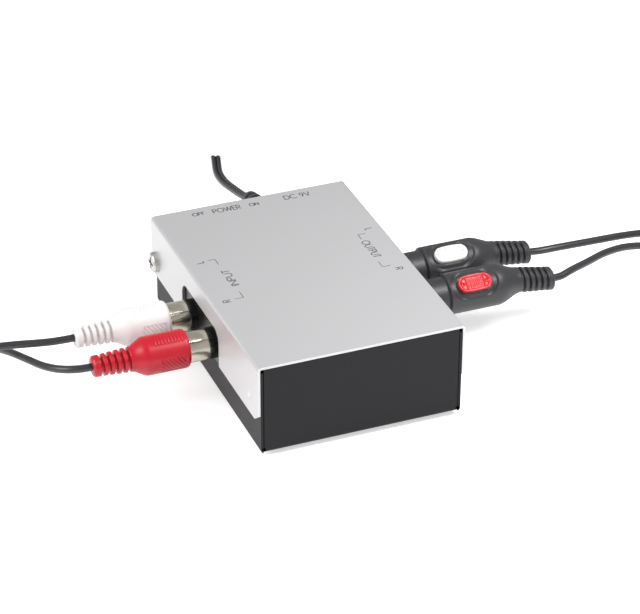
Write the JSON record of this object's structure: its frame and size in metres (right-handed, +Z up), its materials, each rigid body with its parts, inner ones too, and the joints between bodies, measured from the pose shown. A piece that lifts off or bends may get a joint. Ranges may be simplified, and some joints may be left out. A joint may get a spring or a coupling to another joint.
{
  "type": "phono preamp",
  "caption": "Small sheet-metal phono preamp box with plugged-in stereo input and output leads, a power switch and a low-voltage power lead ending in a mains adapter.",
  "frame": {"origin": "under the middle of the case, on the surface that the rubber feet stand on", "axes": "+Z up, -Y out of the plain black front wall, +Y out of the back wall with the switch and power socket, -X out of the input side, +X out of the output side"},
  "size_m": [0.3515, 0.2332, 0.0315],
  "materials": {
    "cover_silver": "fine satin silver paint over folded steel",
    "base_black": "fine-textured matt black powder coat",
    "zinc_steel": "bright zinc plate",
    "nickel": "nickel plate",
    "gold_pin": "thin gold plate",
    "black_plastic": "moulded, matt",
    "black_rubber": "soft, matt",
    "white_plastic": "moulded, satin",
    "red_plastic": "moulded, satin",
    "cord_black": "matt extruded jacket",
    "board_green": "glass-epoxy board with solder mask",
    "capacitor_sleeve": "shrink sleeve on an aluminium can",
    "film_red": "dipped box",
    "resistor_beige": "lacquered",
    "chip_black": "moulded epoxy"
  },
  "bodies": {
    "case": {"base_tray": "base_black", "board_screws": "zinc_steel", "board_standoffs": "zinc_steel", "circuit_board": "board_green", "cover_screws": "zinc_steel", "dc_socket_body": "black_plastic", "dc_socket_pin": "nickel", "dc_socket_terminals": "nickel", "electrolytic_capacitors": "capacitor_sleeve", "film_capacitors": "film_red", "input_jack_block": "black_plastic", "jack_contacts": "gold_pin", "jack_insulators_red": "red_plastic", "jack_insulators_white": "white_plastic", "jack_sleeves": "nickel", "op_amp_chip": "chip_black", "op_amp_legs": "nickel", "output_jack_block": "black_plastic", "power_switch_base": "black_plastic", "power_switch_frame": "zinc_steel", "power_switch_terminals": "nickel", "resistors": "resistor_beige", "rubber_feet": "black_rubber", "top_cover": "cover_silver"},
    "white_input_lead": {"white_input_cord": "cord_black", "white_input_cord_coil": "cord_black", "white_input_far_plug_contacts": "nickel", "white_input_far_plug_grip": "white_plastic", "white_input_plug_contacts": "nickel", "white_input_plug_grip": "white_plastic"},
    "red_input_lead": {"red_input_cord": "cord_black", "red_input_cord_coil": "cord_black", "red_input_far_plug_contacts": "nickel", "red_input_far_plug_grip": "red_plastic", "red_input_plug_contacts": "nickel", "red_input_plug_grip": "red_plastic"},
    "white_output_lead": {"white_output_cord": "cord_black", "white_output_cord_coil": "cord_black", "white_output_far_plug_contacts": "nickel", "white_output_far_plug_grip": "black_plastic", "white_output_far_plug_insert": "white_plastic", "white_output_plug_contacts": "nickel", "white_output_plug_grip": "black_plastic", "white_output_plug_insert": "white_plastic"},
    "red_output_lead": {"red_output_cord": "cord_black", "red_output_cord_coil": "cord_black", "red_output_far_plug_contacts": "nickel", "red_output_far_plug_grip": "black_plastic", "red_output_far_plug_insert": "red_plastic", "red_output_plug_contacts": "nickel", "red_output_plug_grip": "black_plastic", "red_output_plug_insert": "red_plastic"},
    "power_lead": {"adapter_case": "black_plastic", "adapter_pins": "nickel", "power_cord": "cord_black", "power_cord_coil": "cord_black", "power_plug_barrel": "nickel", "power_plug_grip": "black_plastic"},
    "switch_slider": {"power_switch_slider": "black_plastic"}
  },
  "joints": [
    {"name": "white_input_plug_pull", "type": "slide", "parent": "case", "child": "white_input_lead", "axis": [-1, 0, 0], "range_m": [0, 0.01]},
    {"name": "red_input_plug_pull", "type": "slide", "parent": "case", "child": "red_input_lead", "axis": [-1, 0, 0], "range_m": [0, 0.01]},
    {"name": "white_output_plug_pull", "type": "slide", "parent": "case", "child": "white_output_lead", "axis": [1, 0, 0], "range_m": [0, 0.01]},
    {"name": "red_output_plug_pull", "type": "slide", "parent": "case", "child": "red_output_lead", "axis": [1, 0, 0], "range_m": [0, 0.01]},
    {"name": "power_plug_pull", "type": "slide", "parent": "case", "child": "power_lead", "axis": [0, 1, 0], "range_m": [0, 0.01]},
    {"name": "power_switch_slide", "type": "slide", "parent": "case", "child": "switch_slider", "axis": [1, 0, 0], "range_m": [0, 0.004]}
  ]
}
